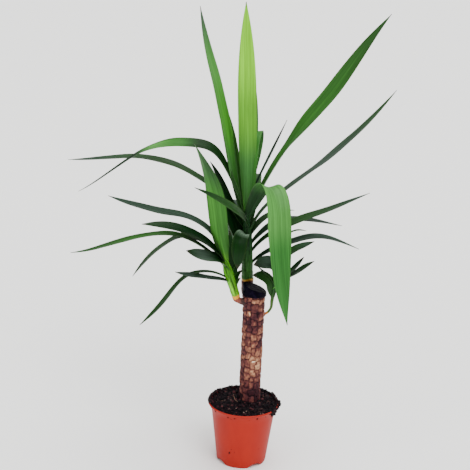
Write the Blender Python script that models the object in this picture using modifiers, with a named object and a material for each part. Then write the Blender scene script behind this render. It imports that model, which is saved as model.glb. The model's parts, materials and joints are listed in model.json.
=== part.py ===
"""A potted yucca: a rooted cane with three leafy shoots, in soil in a plastic nursery pot.

Metres, +Z up, the front towards -Y. The origin is the middle of the pot's flat underside.
"""
import bmesh
import bpy
from math import cos, pi, radians, sin, tau
from mathutils import Matrix, Vector, noise

# Clearance between pieces that touch
GAP = 0.0003

# Pot, a 12 cm nursery pot
POT_HEIGHT = 0.105
MOUTH_RADIUS = 0.060
BASE_RADIUS = 0.0417
WALL_SLOPE = 0.127
WALL = 0.0015
FLARE_HEIGHT = 0.016
BEAD_RADIUS = 0.0013
POT_SIDES = 48
FLARE_STEPS = (0.45, 0.75)
BEAD_ANGLES = (200, 150, 110, 70, 30, -10, -45)
CORNER_HEIGHT = 0.0010
CORNER_INSET = 0.0008

# Drain notches in the pot's lower corner
NOTCH_HEIGHT = 0.0070
NOTCH_WIDTH = 0.0265
NOTCH_INNER = 0.0300
NOTCH_REACH = 0.020
NOTCH_SEGMENTS = 32
NOTCHES = 4
NOTCH_FIRST = radians(-56)

# Soil
SOIL_LEVEL = 0.0995
SOIL_BACK_RISE = 0.0030
SOIL_MOUND = 0.0030
SOIL_LUMP = 0.0012
SOIL_LUMP_SIZE = 0.011
SOIL_RINGS = 6
SOIL_WALL_SHARES = (0.75, 0.5, 0.25, 0)

# Cane, a rooted length of trunk standing behind the pot's middle
CANE_X = 0.010
CANE_Y = 0.018
CANE_RADIUS = 0.0178
CANE_FOOT = 0.010
CANE_TOP = 0.3005
CANE_TOP_SLOPE = -0.35
CANE_SIDES = 24
CANE_ROWS = 34
CANE_SWELL = 0.0005
CANE_SWELL_SIZE = 0.025
SCAR_PITCH = 0.0115
SCAR_RELIEF = 0.0007
SCAR_FIRST = SOIL_LEVEL - 0.004
SCAR_LAST = 0.2835
HOLE_RADIUS = 0.0192

# Swellings of bark round the shoots' roots, as shares of the root's size
COLLAR_GIRTH = 1.45
COLLAR_LENGTH = 0.80
COLLAR_SEGMENTS = 14
COLLAR_RINGS = 8

# Sealing wax over the cut top of the cane
WAX_THICKNESS = 0.0014
WAX_EDGE = 0.2895
WAX_EDGE_WAVE = 0.0016
WAX_WAVE_SIZE = 0.012
WAX_CORNER = 0.0012
WAX_SEAT = 0.0006

# Leaves; the shares are of a leaf's length, counted from its root
LEAF_THICKNESS = 0.0008
LEAF_SECTIONS = 13
TIP_WIDTH = 0.0014
ROOT_SHARE = 0.34
WIDEST_FROM = 0.45
TAPER_FROM = 0.5
TAPER_POWER = 2.6
FOLD_AT_TIP = 8
FOLD_AT_ROOT = 26
FOLD_POWER = 3
SHARP_ANGLE = radians(40)
WELD = 0.00001

# Shoots: where each leaves the cane, then its straight stem from the foot.
# lean is the heading and the rise in degrees; heading 0 is +X, 90 is +Y and 270 is the front.
SHOOTS = {
    "shoot_top": dict(
        root=((0.0060, 0.0290, 0.258), (0.0010, 0.0400, 0.268), (-0.0017, 0.0455, 0.284)),
        foot=(-0.0020, 0.0465, 0.302), lean=(180, 87), length=0.125,
        radii=(0.0052, 0.0070, 0.0094, 0.0102, 0.0074)),
    "shoot_left": dict(
        root=((-0.0020, 0.0158, 0.2760), (-0.0110, 0.0148, 0.2780), (-0.0184, 0.0142, 0.2815)),
        foot=(-0.0205, 0.0140, 0.288), lean=(180, 71), length=0.064,
        radii=(0.0034, 0.0044, 0.0058, 0.0068, 0.0088)),
    "shoot_right": dict(
        root=((0.0220, 0.0150, 0.2540), (0.0330, 0.0145, 0.2600), (0.0385, 0.0142, 0.2690)),
        foot=(0.0395, 0.0140, 0.2800), lean=(10, 84), length=0.050,
        radii=(0.0020, 0.0021, 0.0022, 0.0028, 0.0036)),
}

# One row a leaf: height up the stem, headings, length, width, rises and rolls.
# Headings, rises and rolls are degrees at even steps from the root to the tip.
LEAVES = {
    "shoot_top": (
        # the tall pale leaf in the middle, and the blunt one folded over behind it
        (0.103, (180,), 0.356, 0.031, (88, 88, 87, 87, 87), (86,)),
        (0.0985, (78,), 0.248, 0.026, (84, 87, 88, 40, -75, -80), (0,)),
        # tall leaves to the left and right
        (0.094, (150,), 0.368, 0.030, (60, 78, 75, 71, 79), (0,)),
        (0.106, (18,), 0.412, 0.031, (67, 59, 50, 55, 49), (-8, -8, -4, 22, 28, 25, 15)),
        (0.107, (-4,), 0.180, 0.0085, (79, 77, 68, 67, 68), (20, 28)),
        (0.066, (8,), 0.356, 0.025, (80, 42, 40, 46, 53), (-6, -4, 6, 6)),
        # the broad leaf that hangs down in front
        (0.108, (299, 297, 291, 308, 340), 0.334, 0.040, (58, 52, 34, -38, -78, -79, -79, -78, -77),
         (-30, -22, -12, -4, 0, 0, 8, 20, 20)),
        # arching leaves on the left
        (0.105, (172,), 0.386, 0.024, (67, 68, 62, 54, 6, -5, -21, -34, -37, -36, -30),
         (-8, -8, -10, -14, -28, -26, -14, -8, -8, -8, -8)),
        (0.098, (165,), 0.352, 0.024, (56, 37, 26, 12, -5, -9, -6), (0, -12)),
        (0.092, (268, 250, 232, 216), 0.203, 0.017, (36, 32, 30, 28, 26), (-80, -70, -50, -35)),
        (0.081, (250, 253, 256, 258), 0.088, 0.025, (24, 6, -62, -88, -88), (-14, -24, -14, -4)),
        (0.074, (174,), 0.054, 0.028, (24, 20, 16, 10), (-28,)),
        (0.086, (162,), 0.132, 0.018, (50, 55, 61, 64, 60, 54), (-14,)),
        (0.050, (168,), 0.135, 0.028, (56, 66, 68, 66, 62), (-40,)),
        # lower leaves on the right
        (0.040, (4,), 0.235, 0.021, (60, 36, 22, 24, 25), (10, 14, 3)),
        (0.056, (15,), 0.185, 0.019, (54, 38, 3, -11, -12), (10, 12, 3)),
        (0.024, (3,), 0.205, 0.020, (48, 28, 19, -14, -22), (10, 12, 3)),
        (0.070, (30,), 0.109, 0.018, (58, 50, 26, 4, -6), (0,)),
        # leaves at the back
        (0.109, (92,), 0.262, 0.028, (80, 77, 70, 60, 45), (0,)),
        (0.086, (122,), 0.250, 0.026, (60, 66, 66, 62, 58), (0,)),
        (0.076, (84,), 0.190, 0.025, (58, 46, 28, 4, -18), (0,)),
        (0.050, (100,), 0.180, 0.023, (52, 42, 20, -8, -24), (0,)),
    ),
    "shoot_left": (
        (0.038, (182,), 0.228, 0.031, (75, 75, 82, 76, 66, 62), (88, 88, 80, 50, 22)),
        (0.055, (170,), 0.242, 0.025, (60, 64, 29, 8, 9, 12, 17), (0, -12)),
        (0.050, (190,), 0.169, 0.024, (61, 45, 27, 10, 0), (-10, -26)),
        (0.045, (180,), 0.282, 0.021, (47, 36, 18, -10, -16, -19, -7), (0, -10)),
        (0.055, (160,), 0.217, 0.023, (50, 34, 9, -31, -42, -50, -56), (0, -8, -22, -34)),
        (0.040, (205,), 0.093, 0.029, (62, 47, 16, 18, 26), (-10, -36)),
        (0.025, (190,), 0.192, 0.015, (38, 15, -13, -47, -53, -47, -43), (0, -8, -25)),
        (0.022, (200,), 0.102, 0.021, (25, 12, 14, 12, 22), (0, -12)),
        (0.010, (150,), 0.100, 0.016, (84, 84, 82, 78), (-60,)),
        (0.034, (40,), 0.052, 0.017, (68, 80, 86), (0,)),
        (0.015, (340,), 0.036, 0.011, (80, 68, 40), (75, 60, 40)),
        (0.012, (330,), 0.025, 0.009, (69, 62, 45), (70, 60, 40)),
    ),
    "shoot_right": (
        (0.008, (204,), 0.063, 0.022, (80, 74, 52, 18, 6), (-105, -90, -60, -46, -44)),
        (0.049, (190,), 0.050, 0.026, (84, 56, 8, -10, -12), (-60, -40, -34)),
        (0.024, (190,), 0.047, 0.008, (75, 65, 44, 40, 49), (0, -30)),
        (0.030, (215,), 0.089, 0.016, (82, 82, 85, 66), (0,)),
        (0.028, (-10,), 0.071, 0.015, (43, 49, 57), (5, 32)),
        (0.020, (-25,), 0.092, 0.019, (60, 40, 41, 40, 38), (5, 32)),
        (0.032, (-5,), 0.103, 0.020, (76, 72, 55, 28, 25), (0, 30)),
        (0.034, (-15,), 0.119, 0.020, (85, 84, 80, 42, -7), (0,)),
    ),
}


def clear_scene():
    for obj in list(bpy.data.objects):
        bpy.data.objects.remove(obj, do_unlink=True)


def new_collection(name):
    made = bpy.data.collections.new(name)
    bpy.context.scene.collection.children.link(made)
    return made


def surface(name, color, roughness):
    """A Principled material in one plain colour."""
    mat = bpy.data.materials.new(name)
    mat.use_nodes = True
    shader = mat.node_tree.nodes["Principled BSDF"]
    shader.inputs["Base Color"].default_value = (*color, 1)
    shader.inputs["Roughness"].default_value = roughness
    shader.inputs["Metallic"].default_value = 0
    mat.diffuse_color = (*color, 1)
    return mat


def put(name, mesh, where, mat=None, smooth_angle=None):
    """A mesh as an object in a collection."""
    obj = bpy.data.objects.new(name, mesh)
    where.objects.link(obj)
    if mat:
        mesh.materials.clear()
        mesh.materials.append(mat)
    if smooth_angle:
        mesh.shade_smooth()
        mesh.set_sharp_from_angle(angle=smooth_angle)
    return obj


def as_cutter(obj):
    obj.hide_render = True
    obj.display_type = "WIRE"
    return obj


def settle(obj):
    """Apply an object's modifiers to its mesh."""
    graph = bpy.context.evaluated_depsgraph_get()
    mesh = bpy.data.meshes.new_from_object(obj.evaluated_get(graph))
    obj.modifiers.clear()
    obj.data = mesh


def add_boolean(obj, operation, other=None, group=None, solver="EXACT"):
    mod = obj.modifiers.new(operation.lower(), "BOOLEAN")
    mod.operation = operation
    mod.solver = solver
    if group:
        mod.operand_type = "COLLECTION"
        mod.collection = group
    else:
        mod.object = other


def loft(name, rings):
    """A closed mesh through rings of equal count, with a flat cap on the first and the last."""
    bm = bmesh.new()
    loops = [[bm.verts.new(p) for p in ring] for ring in rings]
    count = len(loops[0])
    for low, high in zip(loops, loops[1:]):
        for i in range(count):
            j = (i + 1) % count
            bm.faces.new((low[i], low[j], high[j], high[i]))
    bm.faces.new(loops[0])
    bm.faces.new(loops[-1])
    bmesh.ops.recalc_face_normals(bm, faces=bm.faces)
    mesh = bpy.data.meshes.new(name)
    bm.to_mesh(mesh)
    bm.free()
    return mesh


def smooth_value(values, s):
    """A smooth curve through values at even steps, read at s from 0 to 1."""
    last = len(values) - 1
    if last == 0:
        return values[0]
    x = min(max(s, 0.0), 1.0) * last
    i = min(int(x), last - 1)
    f = x - i
    before, start = values[max(i - 1, 0)], values[i]
    end, after = values[i + 1], values[min(i + 2, last)]
    leave, arrive = (end - before) / 2, (after - start) / 2
    return ((2*f**3 - 3*f**2 + 1) * start + (f**3 - 2*f**2 + f) * leave
            + (3*f**2 - 2*f**3) * end + (f**3 - f**2) * arrive)


def direction(heading, rise):
    a, e = radians(heading), radians(rise)
    return Vector((cos(e) * cos(a), cos(e) * sin(a), sin(e)))


# Pot

def wall_radius(z):
    """The pot's outer radius: a straight taper that flares out to the rim."""
    flare = max(0.0, (z - (POT_HEIGHT - FLARE_HEIGHT)) / FLARE_HEIGHT)
    straight = BASE_RADIUS + WALL_SLOPE * z
    return straight + (MOUTH_RADIUS - BASE_RADIUS - WALL_SLOPE * POT_HEIGHT) * flare ** 2


def pot_profile():
    """Up the inside from the floor's middle, over the rolled rim, and down the outside."""
    flare_start = POT_HEIGHT - FLARE_HEIGHT
    bead_z = POT_HEIGHT - BEAD_RADIUS
    bead_r = MOUTH_RADIUS - BEAD_RADIUS
    heights = [WALL, flare_start / 2, flare_start]
    heights += [flare_start + share * FLARE_HEIGHT for share in FLARE_STEPS]
    inside = [(wall_radius(z) - WALL, z) for z in heights]
    outside = [(wall_radius(z), z) for z in reversed(heights[1:])]
    bead = [(bead_r + BEAD_RADIUS * cos(a), bead_z + BEAD_RADIUS * sin(a))
            for a in (radians(d) for d in BEAD_ANGLES)]
    corner = [(BASE_RADIUS, CORNER_HEIGHT), (BASE_RADIUS - CORNER_INSET, 0.0)]
    return [(0, WALL), *inside, *bead, *outside, *corner, (0, 0)]


def notch_cutter(number, turn, where):
    """A short cylinder that lies along a radius and bites the pot's lower corner."""
    half = NOTCH_WIDTH / 2
    radius = (half**2 + NOTCH_HEIGHT**2) / (2 * NOTCH_HEIGHT)
    bm = bmesh.new()
    bmesh.ops.create_cone(bm, cap_ends=True, segments=NOTCH_SEGMENTS, radius1=radius,
                          radius2=radius, depth=NOTCH_REACH)
    mesh = bpy.data.meshes.new(f"notch_{number}")
    bm.to_mesh(mesh)
    bm.free()
    middle = NOTCH_INNER + NOTCH_REACH / 2
    spot = Vector((middle * cos(turn), middle * sin(turn), NOTCH_HEIGHT - radius))
    mesh.transform(Matrix.Translation(spot) @ Matrix.Rotation(turn, 4, "Z")
                   @ Matrix.Rotation(pi / 2, 4, "Y"))
    return as_cutter(put(f"notch_{number}", mesh, where))


def build_pot(parts, cutters):
    outline = bpy.data.meshes.new("pot")
    points = pot_profile()
    outline.from_pydata([(r, 0, z) for r, z in points],
                        [(i, i + 1) for i in range(len(points) - 1)], [])
    pot = put("pot", outline, parts)
    turn = pot.modifiers.new("turn", "SCREW")
    turn.axis = "Z"
    turn.angle = tau
    turn.steps = POT_SIDES
    turn.render_steps = POT_SIDES
    turn.use_merge_vertices = True
    turn.merge_threshold = WELD
    settle(pot)
    for number in range(NOTCHES):
        around = NOTCH_FIRST + number * tau / NOTCHES
        add_boolean(pot, "DIFFERENCE", notch_cutter(number + 1, around, cutters))
        settle(pot)
    pot.data.materials.clear()
    pot.data.materials.append(surface("terracotta_plastic", (0.56, 0.075, 0.035), 0.38))
    pot.data.shade_smooth()
    pot.data.set_sharp_from_angle(angle=SHARP_ANGLE)


# Soil

def soil_height(x, y):
    """A slightly mounded, lumpy surface that stands higher behind the cane."""
    reach = Vector((x - CANE_X, y - CANE_Y)).length
    mound = SOIL_MOUND * max(0.0, 1 - reach / MOUTH_RADIUS)
    back = SOIL_BACK_RISE * y / MOUTH_RADIUS
    lumps = SOIL_LUMP * noise.noise(Vector((x, y, 0.02)) / SOIL_LUMP_SIZE)
    return SOIL_LEVEL + mound + back + lumps


def soil_edge(turn):
    """Where the surface meets the pot's inner wall."""
    reach = wall_radius(SOIL_LEVEL) - WALL - GAP
    height = soil_height(reach * cos(turn), reach * sin(turn))
    reach = wall_radius(height) - WALL - GAP
    return Vector((reach * cos(turn), reach * sin(turn), height))


def build_soil(parts):
    turns = [tau * i / POT_SIDES for i in range(POT_SIDES)]
    middle = Vector((CANE_X, CANE_Y, 0))

    def wall_ring(low, share):
        """share 0 is at the height given and 1 is the surface's edge."""
        spots = []
        for a in turns:
            z = low + share * (soil_edge(a).z - low)
            reach = wall_radius(z) - WALL - GAP
            spots.append((reach * cos(a), reach * sin(a), z))
        return spots

    def surface_ring(share):
        """share 0 is the rim of the cane's hole and 1 is the pot's wall."""
        spots = []
        for a in turns:
            rim = middle + HOLE_RADIUS * Vector((cos(a), sin(a), 0))
            spot = rim.lerp(soil_edge(a), share)
            spots.append((spot.x, spot.y, soil_height(spot.x, spot.y)))
        return spots

    hole_floor = [(CANE_X + HOLE_RADIUS * cos(a), CANE_Y + HOLE_RADIUS * sin(a), CANE_FOOT - GAP)
                  for a in turns]
    rings = [hole_floor]
    rings += [surface_ring(i / SOIL_RINGS) for i in range(SOIL_RINGS + 1)]
    flare = POT_HEIGHT - FLARE_HEIGHT
    rings += [wall_ring(flare, share) for share in SOIL_WALL_SHARES]
    rings.append(wall_ring(WALL + GAP, 0))
    mat = surface("potting_soil", (0.022, 0.014, 0.010), 0.95)
    put("soil", loft("soil", rings), parts, mat, SHARP_ANGLE)


# Cane and its wax

def cane_radius(z, around):
    """Rows of leaf scars round the cane, set half a row apart on a slow spiral."""
    if not SCAR_FIRST < z < SCAR_LAST:
        return CANE_RADIUS
    row = z / SCAR_PITCH + 2 * around / tau
    scar = SCAR_RELIEF * (abs(sin(pi * row)) - 0.5)
    spot = Vector((cos(around), sin(around), z / CANE_SWELL_SIZE))
    swell = CANE_SWELL * noise.noise(spot)
    return CANE_RADIUS + scar + swell


def top_tilt(x):
    return CANE_TOP_SLOPE * (x - CANE_X)


def cane_ring(radius, z, tilt=0.0):
    """A ring of the cane; radius is a number or a function of the angle."""
    spots = []
    for i in range(CANE_SIDES):
        a = tau * i / CANE_SIDES
        r = radius(a) if callable(radius) else radius
        x, y = CANE_X + r * cos(a), CANE_Y + r * sin(a)
        spots.append((x, y, z + tilt * top_tilt(x)))
    return spots


def build_cane(parts, cutters):
    first, last = SCAR_FIRST - SCAR_PITCH / 4, SCAR_LAST + SCAR_PITCH / 4
    heights = [CANE_FOOT]
    heights += [first + (last - first) * i / CANE_ROWS for i in range(CANE_ROWS + 1)]
    rings = [cane_ring(lambda a, z=z: cane_radius(z, a), z) for z in heights]
    rings.append(cane_ring(CANE_RADIUS, CANE_TOP, 1))
    cane = put("cane", loft("cane", rings), parts)
    for name, shoot in SHOOTS.items():
        add_boolean(cane, "UNION", collar(name, shoot, cutters))
        settle(cane)
    for name, shoot in SHOOTS.items():
        socket = stem(f"{name}_socket", shoot, cutters, grow=GAP, reach=3)
        add_boolean(cane, "DIFFERENCE", as_cutter(socket))
        settle(cane)
    cane.data.materials.clear()
    cane.data.materials.append(surface("cane_bark", (0.23, 0.10, 0.06), 0.8))
    cane.data.shade_smooth()
    cane.data.set_sharp_from_angle(angle=SHARP_ANGLE)


def collar(name, shoot, where):
    """The swelling of bark round a shoot's root."""
    bm = bmesh.new()
    bmesh.ops.create_uvsphere(bm, u_segments=COLLAR_SEGMENTS, v_segments=COLLAR_RINGS, radius=1)
    mesh = bpy.data.meshes.new(f"{name}_collar")
    bm.to_mesh(mesh)
    bm.free()
    inner, outer = Vector(shoot["root"][0]), Vector(shoot["root"][1])
    girth = shoot["radii"][1] * COLLAR_GIRTH
    along = (outer - inner).to_track_quat("Z", "Y").to_matrix().to_4x4()
    stretch = Matrix.Diagonal((girth, girth, (outer - inner).length * COLLAR_LENGTH, 1))
    mesh.transform(Matrix.Translation(inner) @ along @ stretch)
    return as_cutter(put(f"{name}_collar", mesh, where))


def build_wax(parts):
    """A cap of sealing wax: its top follows the slanted cut and its edge is wavy."""
    def edge(points):
        waved = []
        for x, y, z in points:
            wave = noise.noise(Vector((x, y, 0.0)) / WAX_WAVE_SIZE)
            waved.append((x, y, z + WAX_EDGE_WAVE * wave))
        return waved

    inner = CANE_RADIUS + GAP + WAX_SEAT
    outer = inner + WAX_THICKNESS
    under = CANE_TOP + GAP
    over = under + WAX_THICKNESS
    rings = [
        cane_ring(inner, under, 1),
        edge(cane_ring(inner, WAX_EDGE)),
        edge(cane_ring(outer, WAX_EDGE)),
        cane_ring(outer, over - WAX_CORNER, 1),
        cane_ring(outer - WAX_CORNER, over, 1),
    ]
    mat = surface("sealing_wax", (0.006, 0.006, 0.012), 0.3)
    put("wax_cap", loft("wax_cap", rings), parts, mat, SHARP_ANGLE)


# Shoots

def stem_points(shoot):
    foot = Vector(shoot["foot"])
    tip = foot + direction(*shoot["lean"]) * shoot["length"]
    return [*(Vector(p) for p in shoot["root"]), foot, tip]


def stem(name, shoot, where, grow=0.0, reach=None):
    """The stem as a tapered tube; grow widens it and reach keeps only its first points."""
    points = stem_points(shoot)[:reach]
    path = bpy.data.curves.new(name, "CURVE")
    path.dimensions = "3D"
    path.bevel_depth = 0.001
    path.bevel_resolution = 2
    path.use_fill_caps = True
    line = path.splines.new("POLY")
    line.points.add(len(points) - 1)
    for spot, point, radius in zip(line.points, points, shoot["radii"]):
        spot.co = (*point, 1)
        spot.radius = (radius + grow) / path.bevel_depth
    if grow:
        back = (points[1] - points[0]).normalized() * grow
        line.points[0].co = (*(points[0] - back), 1)
    tube = bpy.data.objects.new(name, path)
    where.objects.link(tube)
    graph = bpy.context.evaluated_depsgraph_get()
    mesh = bpy.data.meshes.new_from_object(tube.evaluated_get(graph))
    bpy.data.objects.remove(tube)
    bm = bmesh.new()
    bm.from_mesh(mesh)
    bmesh.ops.remove_doubles(bm, verts=bm.verts, dist=WELD)
    bm.to_mesh(mesh)
    bm.free()
    return put(name, mesh, where)


def leaf_width(s):
    """Share of the full width: a narrow foot, widest at the middle, a long taper to the tip."""
    grow = ROOT_SHARE + (1 - ROOT_SHARE) * sin(min(s / WIDEST_FROM, 1) * pi / 2)
    taper = 1 - max((s - TAPER_FROM) / (1 - TAPER_FROM), 0) ** TAPER_POWER
    return grow * taper


def leaf_fold(s):
    """How far the margins rise above the midrib, in degrees."""
    return FOLD_AT_TIP + FOLD_AT_ROOT * (1 - s) ** FOLD_POWER


def leaf(name, shoot, row, where):
    """A lance-shaped blade, folded along its midrib, from the middle of the stem."""
    up, headings, length, width, rises, rolls = row
    spot = Vector(shoot["foot"]) + direction(*shoot["lean"]) * up
    step = length / LEAF_SECTIONS
    ahead = direction(smooth_value(headings, 0), smooth_value(rises, 0))
    bm = bmesh.new()
    sections = []
    for i in range(LEAF_SECTIONS + 1):
        s = i / LEAF_SECTIONS
        heading = smooth_value(headings, s)
        towards = direction(heading, smooth_value(rises, s))
        if i:
            spot = spot + step * (ahead + towards) / 2
        ahead = towards
        level = direction(heading + 90, 0)
        turned = Matrix.Rotation(radians(smooth_value(rolls, s)), 3, ahead) @ level
        face = ahead.cross(turned)
        half = max(width * leaf_width(s), TIP_WIDTH) / 2
        fold = radians(leaf_fold(s))
        margin = turned * half * cos(fold)
        lift = face * half * sin(fold)
        sections.append([bm.verts.new(spot + margin + lift), bm.verts.new(spot),
                         bm.verts.new(spot - margin + lift)])
    for low, high in zip(sections, sections[1:]):
        bm.faces.new((low[0], low[1], high[1], high[0]))
        bm.faces.new((low[1], low[2], high[2], high[1]))
    bmesh.ops.triangulate(bm, faces=bm.faces)
    mesh = bpy.data.meshes.new(name)
    bm.to_mesh(mesh)
    bm.free()
    blade = put(name, mesh, where)
    shell = blade.modifiers.new("thickness", "SOLIDIFY")
    shell.thickness = LEAF_THICKNESS
    shell.offset = 0
    return blade


def keep_outer_skin(obj):
    """Fill hollows that the joined leaves close in: only the widest skin stays."""
    bm = bmesh.new()
    bm.from_mesh(obj.data)
    left = set(bm.verts)
    skins = []
    while left:
        skin = {left.pop()}
        edge = list(skin)
        while edge:
            for link in edge.pop().link_edges:
                for vert in link.verts:
                    if vert in left:
                        left.remove(vert)
                        skin.add(vert)
                        edge.append(vert)
        skins.append(skin)
    skins.sort(key=lambda skin: max(v.co.z for v in skin) - min(v.co.z for v in skin))
    for skin in skins[:-1]:
        bmesh.ops.delete(bm, geom=list(skin), context="VERTS")
    bm.to_mesh(obj.data)
    bm.free()


def build_shoot(name, parts, mat):
    """A stem with its leaves, joined in one body."""
    shoot = SHOOTS[name]
    body = stem(name, shoot, parts)
    blades = new_collection(f"{name}_leaves")
    for number, row in enumerate(LEAVES[name]):
        leaf(f"{name}_leaf_{number}", shoot, row, blades)
    add_boolean(body, "UNION", group=blades, solver="MANIFOLD")
    settle(body)
    keep_outer_skin(body)
    for blade in list(blades.objects):
        bpy.data.objects.remove(blade, do_unlink=True)
    bpy.data.collections.remove(blades)
    body.data.materials.clear()
    body.data.materials.append(mat)
    body.data.shade_smooth()
    body.data.set_sharp_from_angle(angle=SHARP_ANGLE)


def main():
    clear_scene()
    parts = new_collection("potted_yucca")
    cutters = new_collection("cutters")
    build_pot(parts, cutters)
    build_soil(parts)
    build_cane(parts, cutters)
    build_wax(parts)
    green = surface("yucca_leaf", (0.07, 0.22, 0.05), 0.4)
    for name in SHOOTS:
        build_shoot(name, parts, green)


main()
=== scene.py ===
import json
from functools import partial
from math import cos, exp, floor, hypot, pi, radians, sin, tau
from random import Random

import bmesh
import bpy
from mathutils import Matrix, Vector
from mathutils.noise import cell, noise

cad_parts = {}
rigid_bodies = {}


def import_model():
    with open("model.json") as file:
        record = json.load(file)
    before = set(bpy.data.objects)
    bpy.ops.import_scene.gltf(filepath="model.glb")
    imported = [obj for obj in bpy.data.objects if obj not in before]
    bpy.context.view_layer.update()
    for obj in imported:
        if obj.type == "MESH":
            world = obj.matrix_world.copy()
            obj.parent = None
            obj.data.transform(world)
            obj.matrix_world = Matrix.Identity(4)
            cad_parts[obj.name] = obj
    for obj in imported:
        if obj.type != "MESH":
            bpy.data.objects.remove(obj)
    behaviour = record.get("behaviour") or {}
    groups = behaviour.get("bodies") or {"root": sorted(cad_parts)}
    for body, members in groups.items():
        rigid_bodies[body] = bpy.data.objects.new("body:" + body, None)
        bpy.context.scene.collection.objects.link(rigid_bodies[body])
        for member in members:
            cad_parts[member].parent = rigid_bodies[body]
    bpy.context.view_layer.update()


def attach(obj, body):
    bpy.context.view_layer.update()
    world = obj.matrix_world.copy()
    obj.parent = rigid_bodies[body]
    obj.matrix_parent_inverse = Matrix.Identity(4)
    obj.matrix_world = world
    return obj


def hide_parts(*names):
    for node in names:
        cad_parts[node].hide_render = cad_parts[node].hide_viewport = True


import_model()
scene = bpy.context.scene


# Nursery pot
# A thin pot moulded in one shot from terracotta-coloured polypropylene: a tapered wall, a flared lip that
# ends in a rolled bead, a flat floor, and four broad drain scallops moulded into the lower corner.

POT_HEIGHT = 0.105
MOUTH_RADIUS = 0.06
BASE_RADIUS = 0.0417
WALL_SLOPE = 0.127
WALL = 0.0015
WALL_STEPS = 26
FLOOR_FILLET = 0.0006
FLARE_HEIGHT = 0.016
BEAD_RADIUS = 0.0013
STANDING_RING = 0.003
RING_HEIGHT = 0.0004
POT_TURNS = 192
SCALLOP_HEIGHT = 0.007
SCALLOP_WIDTH = 0.0265
SCALLOP_INNER = 0.03
SCALLOP_REACH = 0.02
SCALLOP_FIRST = radians(-56)
SCALLOPS = 4
CORE_HEIGHT = 0.03


def linear_from_hex(code):
    """An sRGB hex colour as linear RGBA."""
    channels = [int(code[i:i + 2], 16) / 255 for i in (1, 3, 5)]
    return (*(c / 12.92 if c <= 0.04045 else ((c + 0.055) / 1.055) ** 2.4 for c in channels), 1.0)


def feed(made, inputs):
    """Set a node's inputs to plain values, outputs, or nodes for their first output."""
    for socket, value in inputs.items():
        source = value.outputs[0] if isinstance(value, bpy.types.Node) else value
        if isinstance(source, bpy.types.NodeSocket):
            made.id_data.links.new(source, made.inputs[socket])
        else:
            made.inputs[socket].default_value = source


def add_node(tree, kind, inputs=None, stops=(), **settings):
    """A node with its settings, its inputs and, for a ramp, its colour stops."""
    made = tree.nodes.new(kind)
    for key, value in settings.items():
        setattr(made, key, value)
    feed(made, inputs or {})
    if stops:
        ramp = made.color_ramp.elements
        while len(ramp) < len(stops):
            ramp.new(0.5)
        for element, (spot, code) in zip(ramp, stops):
            element.position = spot
            element.color = linear_from_hex(code)
    return made


def finish_surface(tree, colour, roughness, ior=None, specular=None, bump=None):
    """Set the inputs of the Principled shader; bump is a height, a strength and a distance."""
    if bump:
        bump = add_node(tree, "ShaderNodeBump", dict(zip(("Height", "Strength", "Distance"), bump)))
    inputs = {"Base Color": colour, "Roughness": roughness, "IOR": ior, "Specular IOR Level": specular,
              "Normal": bump}
    feed(tree.nodes["Principled BSDF"], {key: value for key, value in inputs.items() if value is not None})


def new_material(name):
    """A material, and the functions that add a node to its tree and that finish its surface."""
    made = bpy.data.materials.new(name)
    made.use_nodes = True
    return made, partial(add_node, made.node_tree), partial(finish_surface, made.node_tree)


def ranged(node, value, start, end, low, high):
    """A Map Range node that takes start to low and end to high."""
    return node("ShaderNodeMapRange", {"Value": value, "From Min": start, "From Max": end,
                                       "To Min": low, "To Max": high})


def shaded(node, colour, light):
    """A colour made lighter and darker by a value."""
    return node("ShaderNodeVectorMath", {0: colour, "Scale": light}, operation="SCALE")


def noise_in(node, scale, detail, roughness=0.5, stretch=None, space=None):
    """Noise in the object's space, or in a given one; a stretch draws its marks out."""
    if space is None:
        space = node("ShaderNodeTexCoord").outputs["Object"]
    if stretch:
        space = node("ShaderNodeMapping", {"Vector": space, "Scale": stretch})
    return node("ShaderNodeTexNoise", {"Vector": space, "Scale": scale, "Detail": detail,
                                       "Roughness": roughness})


def new_object(name, data):
    """An object in the scene."""
    made = bpy.data.objects.new(name, data)
    scene.collection.objects.link(made)
    return made


def add_piece(name, mesh, material, node, smooth=radians(180)):
    """A mesh as a piece that stands for a CAD node and takes a finish from a slot."""
    made = new_object(name, mesh)
    mesh.name = name
    mesh.materials.clear()
    mesh.materials.append(material)
    mesh.shade_smooth()
    mesh.set_sharp_from_angle(angle=smooth)
    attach(made, "root")
    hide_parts(node)


def polar(reach, turn, z):
    """A point at a reach from the pot's axis."""
    return Vector((reach * cos(turn), reach * sin(turn), z))


def mesh_from(bm):
    """A mesh from a bmesh, which is freed."""
    mesh = bpy.data.meshes.new("part")
    bm.to_mesh(mesh)
    bm.free()
    return mesh


def lathe(outline):
    """A turned mesh; the outline runs up the inside and down the outside."""
    bm = bmesh.new()
    verts = [bm.verts.new((r, 0, z)) for r, z in outline]
    edges = [bm.edges.new(pair) for pair in zip(verts, verts[1:])]
    bmesh.ops.spin(bm, geom=[*verts, *edges], cent=(0, 0, 0), axis=(0, 0, 1), angle=tau,
                   steps=POT_TURNS, use_merge=True)
    bmesh.ops.remove_doubles(bm, verts=bm.verts, dist=0.000005)
    bmesh.ops.recalc_face_normals(bm, faces=bm.faces)
    return mesh_from(bm)


def wall_radius(z):
    """The pot's outer radius: a straight taper that flares out to the rim."""
    flare = max(0.0, (z - (POT_HEIGHT - FLARE_HEIGHT)) / FLARE_HEIGHT)
    straight = BASE_RADIUS + WALL_SLOPE * z
    return straight + (MOUTH_RADIUS - BASE_RADIUS - WALL_SLOPE * POT_HEIGHT) * flare ** 2


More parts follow.
